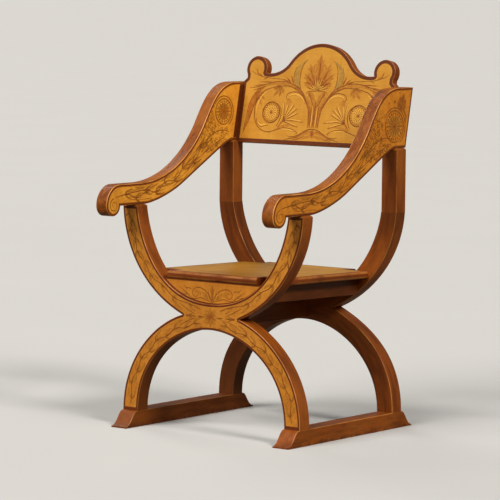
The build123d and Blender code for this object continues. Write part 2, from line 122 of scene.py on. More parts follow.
def finish_of(name, roughness=0.5, **constants):
    """A new material with its Principled shader, whose constant sockets are set straight on it."""
    made = bpy.data.materials.new(name)
    made.use_nodes = True
    shader = made.node_tree.nodes["Principled BSDF"]
    shader.inputs["Roughness"].default_value = roughness
    for socket, value in constants.items():
        shader.inputs[socket.replace("_", " ")].default_value = value
    return made, made.node_tree, shader


glow = bpy.data.worlds.new("studio_glow")
glow.use_nodes = True
tree = glow.node_tree
height = parts_of(tree, wire(tree, "ShaderNodeTexCoord").outputs["Generated"])["Z"]
sky = tint(tree, ramp(tree, height, 0.02, 0.50), (0.68, 0.67, 0.65, 1), (0.40, 0.40, 0.41, 1))
tree.links.new(lit_by(tree, (0.135, 0.13, 0.12, 1), sky), tree.nodes["Background"].inputs["Color"])
bpy.context.scene.world = glow
bpy.context.scene.view_settings.view_transform = "Standard"

bpy.ops.mesh.primitive_plane_add(size=800, location=(0, 0, 0))
floor = bpy.context.object
floor.name = "studio_floor"
paper, tree, shader = finish_of("floor_paper", 0.75, Specular_IOR_Level=0.2)
cloud = cloud_of(tree, placed(tree), 1.4, 3.0)
tone = tint(tree, cloud, (0.510, 0.515, 0.530, 1), (0.535, 0.540, 0.555, 1))
tree.links.new(lit_by(tree, (0.135, 0.110, 0.080, 1), tone), shader.inputs["Base Color"])
floor.data.materials.append(paper)


# The runners: two bars of walnut with rounded shoulders and small toes, tenoned to the feet of the bows. They get the
# kicks and the mop, so that their lower edges are dull and darker. The walnut made here is used for the whole frame.
def effect(name, takes, gives):
    """A node group with named inputs and outputs, ready to be filled."""
    tree = bpy.data.node_groups.new(name, "ShaderNodeTree")
    for way, sockets in (("INPUT", takes), ("OUTPUT", gives)):
        for label, kind in sockets.items():
            tree.interface.new_socket(label, in_out=way, socket_type="NodeSocket" + kind)
    return tree, tree.nodes.new("NodeGroupInput").outputs, tree.nodes.new("NodeGroupOutput").inputs


def sums(tree, rule, *values, clamp=False):
    """One Math node on numbers or sockets."""
    return wire(tree, "ShaderNodeMath", dict(enumerate(values)), operation=rule, use_clamp=clamp).outputs[0]


def times(tree, first, second):
    """The product of two numbers or sockets."""
    return sums(tree, "MULTIPLY", first, second)


def vectors(tree, rule, *values, result=0):
    """One Vector Math node on vectors or sockets."""
    return wire(tree, "ShaderNodeVectorMath", dict(enumerate(values)), operation=rule).outputs[result]


def swayed(tree, vector, scale, detail, reach):
    """The vector, pushed about by a noise."""
    push = wire(tree, "ShaderNodeTexNoise", {"Vector": vector, "Scale": scale, "Detail": detail}).outputs["Color"]
    return vectors(tree, "MULTIPLY_ADD", push, (reach, reach, reach), vector)


# walnut_figure: X runs along the grain. Wavy bands, a broad light and dark drift, and short dark pores.
colours = {"Dark": "Color", "Brown": "Color", "Light": "Color"}
surface = {"Color": "Color", "Roughness": "Float", "Height": "Float"}
tree, given, result = effect("walnut_figure", {"Grain": "Vector", **colours}, surface)
grain, dark, light = given["Grain"], given["Dark"], given["Light"]
wavy = swayed(tree, vectors(tree, "MULTIPLY", grain, (0.16, 1, 1)), 17.0, 2.0, 0.022)
bands = ramp(tree, cloud_of(tree, wavy, 78.0, 3.0, 0.55), 0.34, 0.66)
drift = ramp(tree, cloud_of(tree, vectors(tree, "MULTIPLY", grain, (0.6, 1, 1)), 9.0, 2.0), 0.38, 0.70)
fine = cloud_of(tree, vectors(tree, "MULTIPLY", grain, (0.08, 1, 1)), 420.0, 2.0)
pores = ramp(tree, cloud_of(tree, vectors(tree, "MULTIPLY", grain, (0.035, 1, 1)), 1050.0, 1.0), 0.57, 0.68)
colour = tint(tree, bands, dark, given["Brown"])
colour = tint(tree, times(tree, drift, 0.62), colour, light)
colour = tint(tree, times(tree, fine, 0.42), colour, dark, "MULTIPLY")
colour = tint(tree, times(tree, fine, 0.30), colour, light)
tree.links.new(tint(tree, times(tree, pores, 0.55), colour, dark), result["Color"])
dull = sums(tree, "MULTIPLY_ADD", drift, 0.10, 0.36)
tree.links.new(sums(tree, "MULTIPLY_ADD", pores, 0.10, dull), result["Roughness"])
tree.links.new(sums(tree, "MULTIPLY_ADD", pores, -0.8, times(tree, fine, 0.25)), result["Height"])
walnut_figure = tree

# The arris group: Mask is 1 on the small rounded corners between a flat that faces Flat and the edges round it, where
# hands and dusters have rubbed the stain back, in longer and shorter patches; the same mask also places a painted
# highlight where the rounded arris catches the light. Front and Rear are 1 on the flats.
masks = {"Mask": "Float", "Front": "Float", "Rear": "Float"}
tree, given, result = effect("rubbed_arris_and_sheen", {"Vector": "Vector", "Flat": "Vector"}, masks)
normal = wire(tree, "ShaderNodeNewGeometry").outputs["True Normal"]
facing = vectors(tree, "DOT_PRODUCT", normal, given["Flat"], result="Value")
tree.links.new(ramp(tree, facing, 0.975, 0.992), result["Front"])
tree.links.new(ramp(tree, facing, -0.975, -0.992), result["Rear"])
facing = sums(tree, "ABSOLUTE", facing)
corner = times(tree, ramp(tree, facing, 0.10, 0.45), ramp(tree, facing, 0.985, 0.80))
patches = ramp(tree, cloud_of(tree, given["Vector"], 21.0, 3.0), 0.25, 0.62)
tree.links.new(times(tree, corner, patches), result["Mask"])
rubbed_arris_and_sheen = tree

# bent_grain: the run of the grain round a sawn bow, whose wood follows an arc in the plane of the frame. A radian of
# the arc is so many metres of grain, and the other side of the bow is from another part of the plank.
radian, other_part = 0.28, 0.37
tree, given, result = effect("bent_grain", {"Vector": "Vector", "Centre": "Vector"}, {"Grain": "Vector"})
parts = parts_of(tree, vectors(tree, "SUBTRACT", given["Vector"], given["Centre"]))
squares = sums(tree, "ADD", times(tree, parts["X"], parts["X"]), times(tree, parts["Z"], parts["Z"]))
angle = sums(tree, "ARCTAN2", sums(tree, "ABSOLUTE", parts["X"]), parts["Z"])
side = times(tree, sums(tree, "SIGN", parts["X"]), other_part)
arc = {"X": sums(tree, "MULTIPLY_ADD", angle, radian, side), "Y": sums(tree, "SQRT", squares), "Z": parts["Y"]}
tree.links.new(wire(tree, "ShaderNodeCombineXYZ", arc).outputs[0], result["Grain"])
bent_grain = tree


def group_of(tree, effect_tree, feeds):
    """Places one effect in a material."""
    return wire(tree, "ShaderNodeGroup", feeds, node_tree=effect_tree).outputs


def grain_along(tree, shift, turned=(0, 0, 0), centre=None):
    """Object coordinates with X along the grain: turned for a straight board, or bent round centre for a bow."""
    place, away = placed(tree), (shift, shift * 0.7, shift * 1.3)
    if centre is None:
        turns = tuple(math.radians(angle) for angle in turned)
        feeds = {"Vector": place, "Rotation": turns, "Location": away}
        return place, wire(tree, "ShaderNodeMapping", feeds).outputs[0]
    run = group_of(tree, bent_grain, {"Vector": place, "Centre": centre})["Grain"]
    return place, vectors(tree, "ADD", run, away)


def walnut(name, shift, flat=(0, -1, 0), turned=(0, 0, 0), centre=None, dark=(0.105, 0.0190, 0.0016),
           brown=(0.250, 0.0540, 0.0045), light=(0.390, 0.1080, 0.0110), rub_and_sheen=0.55, edging=0.0, both=False):
    """Polished walnut, stained red-brown, and darker by edging on the flats beside a veneer in front, or on both
    sides. The corners of those flats are paler by rub: partly worn, partly a painted highlight on the rounded arris."""
    edge_stain, worn_wood_and_sheen = (0.100, 0.0190, 0.0030, 1), (0.74, 0.33, 0.078, 1)
    made, tree, shader = finish_of(name, Coat_Weight=0.11, Coat_Roughness=0.17, Specular_IOR_Level=0.23)
    place, run = grain_along(tree, shift, turned, centre)
    feeds = {"Grain": run, "Dark": (*dark, 1), "Brown": (*brown, 1), "Light": (*light, 1)}
    wood = group_of(tree, walnut_figure, feeds)
    worn = group_of(tree, rubbed_arris_and_sheen, {"Vector": place, "Flat": flat})
    beside = sums(tree, "ADD", worn["Front"], worn["Rear"]) if both else worn["Front"]
    colour = tint(tree, times(tree, beside, edging), wood["Color"], edge_stain)
    # Paler corners: rubbed wear and a painted highlight on the arris together.
    colour = tint(tree, times(tree, worn["Mask"], rub_and_sheen), colour, worn_wood_and_sheen)
    tree.links.new(colour, shader.inputs["Base Color"])
    tree.links.new(wood["Roughness"], shader.inputs["Roughness"])
    bump = wire(tree, "ShaderNodeBump", {"Height": wood["Height"], "Strength": 0.35, "Distance": 0.0004})
    tree.links.new(bump.outputs["Normal"], shader.inputs["Normal"])
    return made


def coloured_over(made, share, colour):
    """Lays colour over what a finished material has, in the given share: for stains and scuffs, and for painted
    shade.
    """
    tree, shader = made.node_tree, made.node_tree.nodes["Principled BSDF"]
    was = shader.inputs["Base Color"].links[0].from_socket
    tree.links.new(tint(tree, share, was, (*colour, 1)), shader.inputs["Base Color"])


def polished(names, made):
    """Puts one finish on CAD solids."""
    for name in names:
        nodes[name].data.materials.clear()
        nodes[name].data.materials.append(made)


front_to_back = (0, 0, -90)  # the turn that lays the grain along a runner
# The left runner is given a darker brown and light than the right: painted shade.
for name, shift, brown, light, rub_and_sheen in (
        ("runner_left", 1.3, (0.200, 0.0450, 0.0038), (0.265, 0.0760, 0.0085), 0.35),
        ("runner_right", 4.1, (0.275, 0.0600, 0.0048), (0.370, 0.1060, 0.0115), 0.5)):
    made = walnut(name + "_walnut", shift, flat=(1, 0, 0), turned=front_to_back, brown=brown, light=light, rub_and_sheen=rub_and_sheen)
    tree, shader = made.node_tree, made.node_tree.nodes["Principled BSDF"]
    place = placed(tree)
    low = ramp(tree, parts_of(tree, place)["Z"], 0.016, 0.001)
    scuffed = times(tree, low, ramp(tree, cloud_of(tree, place, 60.0, 3.0), 0.35, 0.65))
    coloured_over(made, times(tree, scuffed, 0.7), (0.035, 0.014, 0.007))
    was = shader.inputs["Roughness"].links[0].from_socket
    tree.links.new(sums(tree, "MULTIPLY_ADD", scuffed, 0.3, was, clamp=True), shader.inputs["Roughness"])
    polished([name], made)


# The front and rear frames: an upper and a lower bow sawn from thick walnut, set back to back and dowelled where
# they cross. The rear frame's horns carry on up as straight posts, spliced on end to end. Shade is painted into the
# wood under the arches, on the rear arch's left foot where the front frame shades it, and just below the splices
# under the arms.
for name, shift, height, edging in (("front_lower_bow", 2.2, 0.044, 0.9), ("front_upper_bow", 3.7, 0.610, 0.9),
                                    ("rear_lower_bow", 5.9, 0.044, 0.0), ("rear_upper_bow", 7.4, 0.610, 0.0)):
    made = walnut(name + "_walnut", shift, centre=(0, 0, height), edging=edging)
    polished([name], made)
    if name == "front_upper_bow":
        continue
    tree = made.node_tree
    parts = parts_of(tree, placed(tree))
    if name == "rear_upper_bow":
        painted_shade = times(tree, ramp(tree, parts["Z"], 0.46, 0.60), 0.50)
    else:
        normal = parts_of(tree, wire(tree, "ShaderNodeNewGeometry").outputs["True Normal"])
        outward = sums(tree, "ADD", times(tree, normal["X"], parts["X"]), times(tree, normal["Z"], parts["Z"]))
        painted_shade = times(tree, ramp(tree, outward, -0.03, -0.12), 0.55)
    if name == "rear_lower_bow":
        painted_shade = sums(tree, "MAXIMUM", painted_shade, times(tree, ramp(tree, parts["X"], -0.13, -0.25), 0.72))
    # Painted shade: the walnut darkened where the masks above are 1.
    coloured_over(made, painted_shade, (0.050, 0.0110, 0.0012))
for name, shift in (("rear_post_left", 8.8), ("rear_post_right", 9.6)):
    polished([name], walnut(name + "_walnut", shift, turned=(0, 90, 0), brown=(0.280, 0.0630, 0.0055),
                            light=(0.420, 0.1200, 0.0130), rub_and_sheen=0.25, edging=0.35))


# The stretcher: a plain walnut bar from the front crossing to the rear one. It is tenoned into both arched bows, and
# keeps the two frames square.
polished(["cross_stretcher"], walnut("cross_stretcher_walnut", 16.4, flat=(0, 0, 1), turned=front_to_back,
                                     brown=(0.160, 0.0360, 0.0050), rub_and_sheen=0.2))


# The front frame's face: a skin of satinwood cut in short lengths that follow the limbs, glued on and drawn over in
# pen and brown ink with a leafy vine, then polished.
tree, given, result = effect("satinwood_figure", {"Grain": "Vector", "Pale": "Color", "Deep": "Color",
                                                  "Ripple": "Float", "Fleck": "Float"}, surface)
grain = given["Grain"]
bend = swayed(tree, grain, 12.0, 1.0, 0.014)
ripples = ramp(tree, cloud_of(tree, vectors(tree, "MULTIPLY", bend, (1, 0.16, 0.16)), 70.0, 1.0), 0.36, 0.66)
clouds = ramp(tree, cloud_of(tree, grain, 15.0, 3.0), 0.30, 0.72)
streaks = cloud_of(tree, vectors(tree, "MULTIPLY", bend, (0.06, 1, 1)), 260.0, 3.0, 0.6)
flecks = ramp(tree, cloud_of(tree, vectors(tree, "MULTIPLY", bend, (0.30, 1, 1)), 300.0, 1.0), 0.60, 0.72)
share = sums(tree, "ADD", times(tree, clouds, 0.45), times(tree, ripples, given["Ripple"]))
share = sums(tree, "MULTIPLY_ADD", ramp(tree, streaks, 0.35, 0.65), 0.30, share, clamp=True)
colour = tint(tree, share, given["Deep"], given["Pale"])
tree.links.new(tint(tree, times(tree, flecks, given["Fleck"]), colour, (0.16, 0.062, 0.016, 1)), result["Color"])
dull = sums(tree, "MULTIPLY_ADD", clouds, 0.08, 0.32)
tree.links.new(sums(tree, "MULTIPLY_ADD", streaks, 0.12, dull), result["Roughness"])
tree.links.new(sums(tree, "MULTIPLY_ADD", flecks, -0.5, streaks), result["Height"])
satinwood_figure = tree


def satinwood(name, shift, pale, deep, turned=(0, 0, 0), centre=None, ripple=0.30, fleck=0.25, coat=0.15):
    """Golden veneer under an old amber polish."""
    made, tree, shader = finish_of(name, Coat_Weight=coat, Coat_Roughness=0.14, Specular_IOR_Level=0.28)
    run = grain_along(tree, shift, turned, centre)[1]
    feeds = {"Grain": run, "Pale": (*pale, 1), "Deep": (*deep, 1), "Ripple": ripple, "Fleck": fleck}
    wood = group_of(tree, satinwood_figure, feeds)
    tree.links.new(wood["Color"], shader.inputs["Base Color"])
    tree.links.new(wood["Roughness"], shader.inputs["Roughness"])
    bump = wire(tree, "ShaderNodeBump", {"Height": wood["Height"], "Strength": 0.18, "Distance": 0.0003})
    tree.links.new(bump.outputs["Normal"], shader.inputs["Normal"])
    return made


# aged_ink: ink that has worn thin in places, so that its tone comes and goes along a stroke.
tree, given, result = effect("aged_ink", {"Vector": "Vector", "Full": "Color", "Worn": "Color"},
                             {"Color": "Color", "Roughness": "Float"})
wear = ramp(tree, cloud_of(tree, given["Vector"], 95.0, 3.0), 0.30, 0.72)
tree.links.new(tint(tree, wear, given["Full"], given["Worn"]), result["Color"])
tree.links.new(sums(tree, "MULTIPLY_ADD", wear, 0.12, 0.36), result["Roughness"])
aged_ink = tree


def ink(name, full, worn):
    """One colour of the penman's ink, under the same polish as the veneer."""
    made, tree, shader = finish_of(name, Coat_Weight=0.15, Coat_Roughness=0.14, Specular_IOR_Level=0.28)
    place = placed(tree)
    painted_shade = group_of(tree, aged_ink, {"Vector": place, "Full": (*full, 1), "Worn": (*worn, 1)})
    tree.links.new(painted_shade["Color"], shader.inputs["Base Color"])
    tree.links.new(painted_shade["Roughness"], shader.inputs["Roughness"])
    grit = cloud_of(tree, place, 700.0)
    bump = wire(tree, "ShaderNodeBump", {"Height": grit, "Strength": 0.1, "Distance": 0.0002})
    tree.links.new(bump.outputs["Normal"], shader.inputs["Normal"])
    return made


dark_ink = ink("penwork_dark_ink", (0.190, 0.0480, 0.0040), (0.290, 0.0980, 0.0100))
brown_wash = ink("penwork_brown_wash", (0.320, 0.0880, 0.0068), (0.400, 0.1300, 0.0115))
soft_wash = ink("penwork_soft_wash", (0.385, 0.1430, 0.0135), (0.455, 0.1840, 0.0180))


def between(t, a, b, c, d):
    """A smooth step t of the way from b to c, with a before them and d after."""
    return 0.5 * (2 * b + (c - a) * t + (2 * a - 5 * b + 4 * c - d) * t * t + (3 * b - a - 3 * c + d) * t ** 3)


def flow(*knots, steps=6):
    """A stroke that runs smoothly through knots, each its x, y and half width in millimetres."""
    ends = (knots[0], *knots, knots[-1])
    stroke = []
    for four in zip(ends, ends[1:], ends[2:], ends[3:]):
        stroke += [[between(step / steps, *values) for values in zip(*four)] for step in range(steps)]
    return stroke + [list(knots[-1])]


def leaf(x, y, heading, length, width, curl=0.0, steps=7):
    """A pointed leaf on its stalk at x, y. It swells to width and turns by curl degrees on the way to its tip."""
    stroke = []
    for step in range(steps + 1):
        share = step / steps
        stroke.append([x, y, 0.5 * width * math.sin(math.pi * share ** 0.75)])
        angle = math.radians(heading + curl * share)
        x, y = x + math.cos(angle) * length / steps, y + math.sin(angle) * length / steps
    return stroke


def disc(x, y, radius):
    """A round blot."""
    across = [radius * (step / 4 - 1) for step in range(9)]
    return [[x + a, y, math.sqrt(max(0, radius ** 2 - a ** 2))] for a in across]


def vine(bend, turns, swing, size):
    """A wavy stem along a cubic curve, given by its four pulls, with a pair of willow leaves and two tendrils on each
    turn: its dark strokes and its leaves."""
    per_turn, leafing = 6, 2
    dark, pale, stem = [], [], []
    for step in range(turns * per_turn + 1):
        t = step / (turns * per_turn)
        shares = ((1 - t) ** 3, 3 * (1 - t) ** 2 * t, 3 * (1 - t) * t * t, t ** 3)
        slopes = ((1 - t) ** 2, 2 * (1 - t) * t, t * t)
        x, y = (sum(c * pull[axis] for c, pull in zip(shares, bend)) for axis in (0, 1))
        dx, dy = (sum(c * (b[axis] - a[axis]) for c, a, b in zip(slopes, bend, bend[1:])) for axis in (0, 1))
        along, wave = math.atan2(dy, dx), swing * math.sin(math.pi * step / per_turn)
        x, y = x - math.sin(along) * wave, y + math.cos(along) * wave
        stem.append([x, y, 1.1])
        if step % per_turn == leafing:
            side, heading = (1 if wave > 0 else -1), math.degrees(along)
            pale += [leaf(x, y, heading + side * 40, size, size * 0.10, -side * 46),
                     leaf(x, y, heading - side * 44, size * 0.8, size * 0.09, side * 50)]
            dark += [leaf(x, y, heading + side * 62, size * 0.55, size * 0.075, -side * 70),
                     leaf(x, y, heading - side * 20, size * 0.6, size * 0.05, side * 60)]
    return dark + [stem], pale


def outlined(strokes, by=0.9):
    """The same strokes, broader, to lie under them as an outline."""
    return [[[x, y, half + by] for x, y, half in stroke] for stroke in strokes]


def flipped(strokes):
    """The mirror images of strokes across x = 0."""
    return [[[-x, y, half] for x, y, half in stroke] for stroke in strokes]


def mirrored(strokes):
    """Strokes and their mirror images."""
    return strokes + flipped(strokes)


def kept_on(skin, place, stroke):
    """The points of a stroke, in millimetres, up to where its edge would leave the skin of a sheet. A stroke that is
    cut short ends in a fine tip."""
    spare, off_sheet, fine_tip = 0.5, 0.0003, 0.1
    kept = []
    for x, y, half in stroke:
        rim = half + spare
        round_it = [place @ Vector(((x + a * rim) / 1000, (y + b * rim) / 1000, 0))
                    for a, b in ((1, 0), (-1, 0), (0, 1), (0, -1))]
        if all(skin.find_nearest(spot)[3] < off_sheet for spot in round_it):
            kept.append((x, y, half))
        elif kept:
            break
    if kept and len(kept) < len(stroke):
        kept[-1] = (*kept[-1][:2], fine_tip)
    return kept


def drawn(start, slot, sheet, across, up, corner, *layers):
    """Lays a drawing as flat ribbons on a sheet of veneer. Across and up are its directions and corner is its zero.
    Each layer gives its tone, its strokes and its ink, from the lowest up."""
    lifts, hair, levels, thinnest = (0.06, 0.16, 0.26, 0.36, 0.46, 0.56), 0.000008, 12, 0.02
    across, up = Vector(across), Vector(up)
    place = Matrix.Translation(corner) @ Matrix((across, up, across.cross(up))).transposed().to_4x4()
    veneer = nodes[sheet]
    spots = [veneer.matrix_world @ spot.co for spot in veneer.data.vertices]
    skin = BVHTree.FromPolygons(spots, [tuple(face.vertices) for face in veneer.data.polygons])
    for lift, (tone, strokes, made) in zip(lifts, layers):
        name = start + "_" + tone + "_penwork"
        pen = bpy.data.curves.new(name, "CURVE")
        pen.dimensions = "3D"
        pen.twist_mode = "Z_UP"
        pen.extrude = 0.001
        for count, stroke in enumerate(strokes):
            kept = kept_on(skin, place, stroke)
            if len(kept) < 3:
                continue
            line = pen.splines.new("POLY")
            line.points.add(len(kept) - 1)
            height = lift / 1000 + count % levels * hair  # strokes that cross are kept apart
            for point, (x, y, half) in zip(line.points, kept):
                point.co = (x / 1000, y / 1000, height, 1)
                point.radius = max(half, thinnest)
                point.tilt = math.pi / 2
        piece = bpy.data.objects.new(name, pen)
        bpy.context.scene.collection.objects.link(piece)
        bpy.ops.object.select_all(action="DESELECT")
        piece.select_set(True)
        bpy.context.view_layer.objects.active = piece
        bpy.ops.object.convert(target="MESH")
        piece.matrix_world = place
        bpy.ops.object.transform_apply(location=True, rotation=True, scale=True)
        piece.data.materials.append(made)
        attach(piece, "root")


polished(["front_frame_veneer"], satinwood("front_frame_satinwood", 0.9, (0.560, 0.225, 0.024), (0.400, 0.135, 0.012),
                                           centre=(0, 0, 0.321), fleck=0.35))
crossing = 321  # its height in millimetres
low_dark, low_pale = vine(((276, 62), (276, 205), (142, 290), (34, 300)), 10, 4, 40)
high_dark, high_pale = vine(((282, 592), (282, 548), (254, 386), (34, 340)), 10, 4, 40)
dark, pale, brown = low_dark + high_dark, low_pale + high_pale, []
dark += [
    leaf(97, crossing, 180, 50, 5.5), leaf(78, crossing, 158, 20, 2.4), leaf(78, crossing, 202, 20, 2.4),
    leaf(42, crossing, 180, 18, 4), flow((104, 352, 0.5), (78, 338, 1.0), (50, 326, 0.6)),
    flow((104, 292, 0.5), (78, 306, 1.0), (50, 316, 0.6)),
]
dark, pale = mirrored(dark), mirrored(pale)
for petal in range(8):
    pale.append(leaf(0, crossing, 45 * petal, 25, 11))
    brown.append(leaf(0, crossing, 45 * petal, 19, 5))
    dark.append(leaf(0, crossing, 45 * petal + 22.5, 22, 1.8))
dark.append(disc(0, crossing, 3.0))
drawn("front_frame", "frame_veneer", "front_frame_veneer", (1, 0, 0), (0, 0, 1), (0, -0.200, 0),
      ("outline", outlined(pale), dark_ink), ("soft", pale, soft_wash), ("brown", brown, brown_wash),
      ("dark", dark, dark_ink))


# The lunettes: two thin half-moons of walnut, fitted inside the upper bows just under the seat. The front one is
# veneered, and drawn with a stem between two scrolls of leaves.
def ring(x, y, radius, half, start=0.0, sweep=360.0, shrink=0.0):
    """A drawn circle, or an arc or spiral of it that tapers where it shrinks."""
    steps = max(6, int(abs(sweep) / 15))
    stroke = []
    for step in range(steps + 1):
        share = step / steps
        angle, reach = math.radians(start + sweep * share), radius * (1 - shrink * share)
        width = half * (1 - 0.6 * share * bool(shrink))
        stroke.append([x + reach * math.cos(angle), y + reach * math.sin(angle), width])
    return stroke


polished(["front_lunette", "rear_lunette"], walnut("lunette_walnut", 6.6, edging=0.8))
polished(["front_lunette_veneer"], satinwood("front_lunette_satinwood", 2.9, (0.580, 0.225, 0.022),
                                             (0.450, 0.150, 0.013), fleck=0.15))
dark = [
    flow((2, 363, 0.8), (10, 378, 1.1), (24, 391, 1.2), (42, 398, 1.2), (58, 396, 1.1), (67, 388, 1.0),
         (66, 378, 0.9), (58, 373, 0.8), (50, 377, 0.8), (49, 385, 0.7), (55, 388, 0.6), (60, 384, 0.4)),
    flow((4, 362, 0.6), (20, 366, 1.0), (36, 371, 1.0), (50, 369, 0.9), (64, 367, 0.9), (80, 375, 0.9),
         (96, 387, 0.8), (112, 395, 0.4)),
    flow((84, 379, 0.4), (94, 377, 0.8), (106, 381, 0.4)), leaf(70, 392, 20, 24, 2.2, -30),
    leaf(86, 390, 46, 18, 1.8), leaf(14, 366, 56, 26, 1.5, 20), leaf(8, 364, 76, 32, 1.5, 8),
]
pale = [leaf(14, 369, 36, 27, 8, 12), leaf(40, 377, 75, 13, 5), leaf(76, 375, 28, 28, 4.5, -10)]
dark, pale = mirrored(dark), mirrored(pale)
dark += [leaf(0, 361, 90, 44, 3.2), leaf(0, 376, 72, 26, 1.8, 12), leaf(0, 376, 108, 26, 1.8, -12),
         ring(0, 364, 4, 0.8)]
pale += [leaf(0, 364, 90, 42, 7)]
drawn("front_lunette", "lunette_veneer", "front_lunette_veneer", (1, 0, 0), (0, 0, 1), (0, -0.192, 0),
      ("outline", outlined(pale, 0.7), dark_ink), ("soft", pale, soft_wash), ("dark", dark, dark_ink))


# The seat: a walnut board with a rounded edge, dowelled to two side rails that run between the frames. A panel of
# veneer is let into its top and polished.
polished(["seat_board"], walnut("seat_board_walnut", 10.2, flat=(0, 0, 1), brown=(0.190, 0.0340, 0.0032),
                                light=(0.300, 0.0680, 0.0070), rub_and_sheen=0.30))
# The rails' walnut is much darker than the rest of the frame's: painted shade under the seat's overhang.
rail_walnut_in_shade = walnut("seat_rail_walnut", 11.5, flat=(0, 0, 1), turned=front_to_back, dark=(0.050, 0.0090, 0.0010),
                     brown=(0.105, 0.0210, 0.0020), light=(0.170, 0.0420, 0.0050), rub_and_sheen=0.1)
polished(["seat_rail_left", "seat_rail_right"], rail_walnut_in_shade)
polished(["seat_veneer"], satinwood("seat_satinwood", 5.2, (0.520, 0.250, 0.022), (0.370, 0.155, 0.012), fleck=0.2,
                                    coat=0.25))


# The arms: each is sawn from one walnut plank in a long S that ends in a scroll for the hand, dowelled on to a horn
# and a post, and veneered on both sides inside a walnut edge. The veneer's rim is stained, and leaves are drawn
# along it to a roundel behind.
def spray(x, y, heading, length, width, lobes, spread, curl=0.0):
    """A lobed leaf: several pointed ones from one stalk, the middle one longest."""
    made = []
    for lobe in range(lobes):
        off = lobe - (lobes - 1) / 2
        made.append(leaf(x, y, heading + off * spread, length * (1 - 0.22 * abs(off)), width, curl * off))
    return made


def spots_round(x, y, reach, count):
    """Evenly spaced spots on a circle, each with its heading from the middle."""
    angles = [math.tau * spot / count for spot in range(count)]
    return [(x + reach * math.cos(angle), y + reach * math.sin(angle), math.degrees(angle)) for angle in angles]


def roundel(x, y, radius, petals, beads=22):
    """A flower in a ring of beads: its dark strokes, its pale petals and its brown eye."""
    dark = [ring(x, y, radius, 1.0), ring(x, y, radius * 0.93, 0.5), disc(x, y, radius * 0.09)]
    dark += [disc(a, b, radius * 0.055) for a, b, _ in spots_round(x, y, 0.80 * radius, beads)]
    dark += [leaf(*spot, radius * 0.40, radius * 0.06) for spot in spots_round(x, y, 0.26 * radius, petals)]
    pale = [leaf(*spot, radius * 0.58, radius * 0.29) for spot in spots_round(x, y, 0.20 * radius, petals)]
    return dark, pale, [disc(x, y, radius * 0.26)]


def blades(rows, count, length, width, seed):
    """Slender leaves strewn along a band, whose rows are each a spot on its lower edge and one on its upper edge."""
    dice = random.Random(seed)

    def spot(station, share):
        """The spot that far along the rows and that far up between the edges."""
        low, high = rows[int(station)], rows[int(station) + 1]
        ends = [[(1 - station % 1) * a + station % 1 * b for a, b in zip(low[k], high[k])] for k in (0, 1)]
        return [(1 - share) * a + share * b for a, b in zip(*ends)]

    made = []
    for _ in range(count):
        station, share = dice.uniform(0, len(rows) - 1.5), dice.uniform(0.04, 0.96)
        here, ahead = spot(station, share), spot(station + 0.4, share)
        heading = math.degrees(math.atan2(ahead[1] - here[1], ahead[0] - here[0]))
        made.append(leaf(*here, heading + dice.uniform(-7, 7), length * dice.uniform(0.6, 1.2), width,
                         dice.uniform(-14, 24)))
    return made


def stained_edge(name, sheet, out, made, width=0.0026):
    """A stain along the edge of a sheet of veneer, on the face that looks out: a ribbon a hair above the wood."""
    hair, same_way, same_spot = 0.00003, 0.99, 0.000002
    out = Vector(out)
    rim = bmesh.new()
    rim.from_mesh(nodes[sheet].data)
    rim.transform(nodes[sheet].matrix_world)
    others = [face for face in rim.faces if face.normal.dot(out) < same_way]
    bmesh.ops.delete(rim, geom=others, context="FACES")
    bmesh.ops.remove_doubles(rim, verts=rim.verts, dist=same_spot)
    inset = bmesh.ops.inset_region(rim, faces=rim.faces[:], thickness=width, use_boundary=True, use_even_offset=True)
    edge = set(inset["faces"])
    bmesh.ops.delete(rim, geom=[face for face in rim.faces if face not in edge], context="FACES")
    bmesh.ops.translate(rim, verts=rim.verts, vec=out * hair)
    shape = bpy.data.meshes.new(name)
    rim.to_mesh(shape)
    rim.free()
    shape.materials.append(made)
    piece = bpy.data.objects.new(name, shape)
    bpy.context.scene.collection.objects.link(piece)
    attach(piece, "root")


panel_lean = math.radians(11.2)
beside_panel, at_panel = 0.0765, 0.0775  # how far back the band beside the panel darkens, brought down to the floor
along_arm = (-27, 0, -90)
for name, shift in (("arm_left", 12.3), ("arm_right", 13.9)):
    polished([name], walnut(name + "_walnut", shift, flat=(1, 0, 0), turned=along_arm, brown=(0.280, 0.0700, 0.0050),
                            light=(0.430, 0.1350, 0.0120), rub_and_sheen=0.85, edging=0.9, both=True))
for face, shift, pale, deep in (
        ("arm_left_outer", 3.1, (0.740, 0.285, 0.025), (0.500, 0.155, 0.011)),
        ("arm_left_inner", 4.4, (0.850, 0.400, 0.042), (0.620, 0.240, 0.020)),
        ("arm_right_inner", 5.8, (0.740, 0.305, 0.028), (0.510, 0.170, 0.012)),
        ("arm_right_outer", 6.9, (0.750, 0.280, 0.022), (0.510, 0.155, 0.010))):
    made = satinwood(face + "_satinwood", shift, pale, deep, turned=along_arm, fleck=0.35)
    if "inner" in face:
        tree = made.node_tree
        parts = parts_of(tree, placed(tree))
        back = sums(tree, "MULTIPLY_ADD", parts["Z"], -math.tan(panel_lean), parts["Y"])
        coloured_over(made, ramp(tree, back, beside_panel, at_panel), (0.105, 0.0195, 0.0030))
    polished([face + "_veneer"], made)
edge_wash = ink("arm_edge_wash", (0.260, 0.0700, 0.0060), (0.340, 0.1050, 0.0090))
for face, out in (("left_outer", -1), ("left_inner", 1), ("right_outer", 1), ("right_inner", -1)):
    stained_edge("arm_" + face + "_edge_stain", "arm_" + face + "_veneer", (out, 0, 0), edge_wash)
rows = (((-266, 620), (-270, 657)), ((-200, 620), (-200, 658)), ((-142, 620), (-146, 661)),
        ((-84, 630), (-93, 670)), ((-22, 655), (-35, 692)), ((40, 686), (21, 726)),
        ((92, 714), (57, 756)), ((136, 738), (93, 796)), ((172, 760), (116, 826)))
